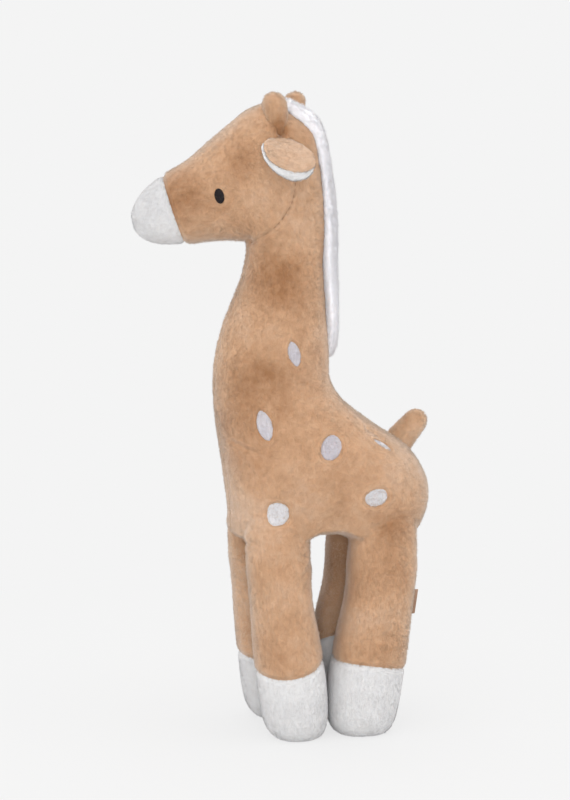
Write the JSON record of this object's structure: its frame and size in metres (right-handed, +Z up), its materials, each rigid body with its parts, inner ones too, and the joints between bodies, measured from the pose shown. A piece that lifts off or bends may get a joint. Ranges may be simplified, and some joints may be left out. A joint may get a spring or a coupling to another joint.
{
  "type": "plush giraffe",
  "caption": "Standing stuffed toy giraffe with a long neck, cloth spots, a plush mane, stub horns, cupped ears and white feet; neck, head, legs, ears and tail flex at their seams",
  "frame": {"origin": "middle of the underside of the bounding box, on the surface that the four feet stand on", "axes": "+Z up, the giraffe faces -X, its left side is -Y"},
  "size_m": [0.1852, 0.0952, 0.4],
  "materials": {
    "tan_plush": "short velvety pile",
    "white_plush": "short velvety pile",
    "spot_cloth": "short pile patch",
    "eye_thread": "satin stitch",
    "tab_tape": "woven tape",
    "fibre_filling": "loose polyester fibre"
  },
  "bodies": {
    "root": {"torso": "tan_plush", "torso_filling": "fibre_filling", "chest_spot_left": "spot_cloth", "chest_spot_right": "spot_cloth", "flank_spot_left": "spot_cloth", "flank_spot_right": "spot_cloth", "rump_spot_left": "spot_cloth", "rump_spot_right": "spot_cloth", "hip_spot_left": "spot_cloth", "hip_spot_right": "spot_cloth", "shoulder_spot_left": "spot_cloth", "shoulder_spot_right": "spot_cloth"},
    "neck_body": {"neck": "tan_plush", "neck_filling": "fibre_filling", "neck_mane": "white_plush", "neck_spot_left": "spot_cloth", "neck_spot_right": "spot_cloth"},
    "head_body": {"head": "tan_plush", "muzzle": "white_plush", "head_filling": "fibre_filling", "head_mane": "white_plush", "eye_left": "eye_thread", "eye_right": "eye_thread", "horn_left": "tan_plush", "horn_right": "tan_plush"},
    "ear_left_body": {"ear_left": "tan_plush", "ear_lining_left": "white_plush"},
    "ear_right_body": {"ear_right": "tan_plush", "ear_lining_right": "white_plush"},
    "tail_body": {"tail": "tan_plush"},
    "front_left_body": {"front_leg_left": "tan_plush", "front_foot_left": "white_plush", "front_leg_left_filling": "fibre_filling"},
    "front_right_body": {"front_leg_right": "tan_plush", "front_foot_right": "white_plush", "front_leg_right_filling": "fibre_filling"},
    "hind_left_body": {"hind_leg_left": "tan_plush", "hind_foot_left": "white_plush", "hind_leg_left_filling": "fibre_filling"},
    "hind_right_body": {"hind_leg_right": "tan_plush", "hind_foot_right": "white_plush", "hind_leg_right_filling": "fibre_filling"},
    "tab_body": {"side_tab": "tab_tape"}
  },
  "joints": [
    {"name": "neck_bend", "type": "hinge", "parent": "root", "child": "neck_body", "pos_m": [-0.01072, 0.00013, 0.222], "axis": [0, 1, 0], "range_deg": [-10, 10], "stiffness_Nm_per_rad": 3},
    {"name": "head_turn", "type": "hinge", "parent": "neck_body", "child": "head_body", "pos_m": [-0.00032, 0.00013, 0.306], "axis": [0, 0, 1], "range_deg": [-20, 30], "stiffness_Nm_per_rad": 1},
    {"name": "ear_flap_left", "type": "hinge", "parent": "head_body", "child": "ear_left_body", "pos_m": [-0.00613, -0.02347, 0.3664], "axis": [0.9659, -0.2588, 0], "range_deg": [-15, 15], "stiffness_Nm_per_rad": 0.05},
    {"name": "ear_flap_right", "type": "hinge", "parent": "head_body", "child": "ear_right_body", "pos_m": [0.00645, 0.02347, 0.3664], "axis": [0.9659, -0.2588, 0], "range_deg": [-15, 15], "stiffness_Nm_per_rad": 0.05},
    {"name": "tail_swing", "type": "hinge", "parent": "root", "child": "tail_body", "pos_m": [0.07436, 0.00013, 0.18111], "axis": [0, 1, 0], "range_deg": [-20, 20], "stiffness_Nm_per_rad": 0.05},
    {"name": "front_leg_swing_left", "type": "hinge", "parent": "root", "child": "front_left_body", "pos_m": [-0.01372, -0.02387, 0.128], "axis": [0, 1, 0], "range_deg": [0, 12], "stiffness_Nm_per_rad": 3},
    {"name": "front_leg_swing_right", "type": "hinge", "parent": "root", "child": "front_right_body", "pos_m": [-0.01372, 0.02413, 0.128], "axis": [0, 1, 0], "range_deg": [0, 12], "stiffness_Nm_per_rad": 3},
    {"name": "hind_leg_swing_left", "type": "hinge", "parent": "root", "child": "hind_left_body", "pos_m": [0.05528, -0.02387, 0.128], "axis": [0, 1, 0], "range_deg": [-12, 0], "stiffness_Nm_per_rad": 3},
    {"name": "hind_leg_swing_right", "type": "hinge", "parent": "root", "child": "hind_right_body", "pos_m": [0.05528, 0.02413, 0.128], "axis": [0, 1, 0], "range_deg": [-12, 0], "stiffness_Nm_per_rad": 3},
    {"name": "tab_flap", "type": "hinge", "parent": "hind_left_body", "child": "tab_body", "pos_m": [0.07512, -0.02387, 0.081], "axis": [0, 0, 1], "range_deg": [-30, 30], "stiffness_Nm_per_rad": 0.002}
  ]
}
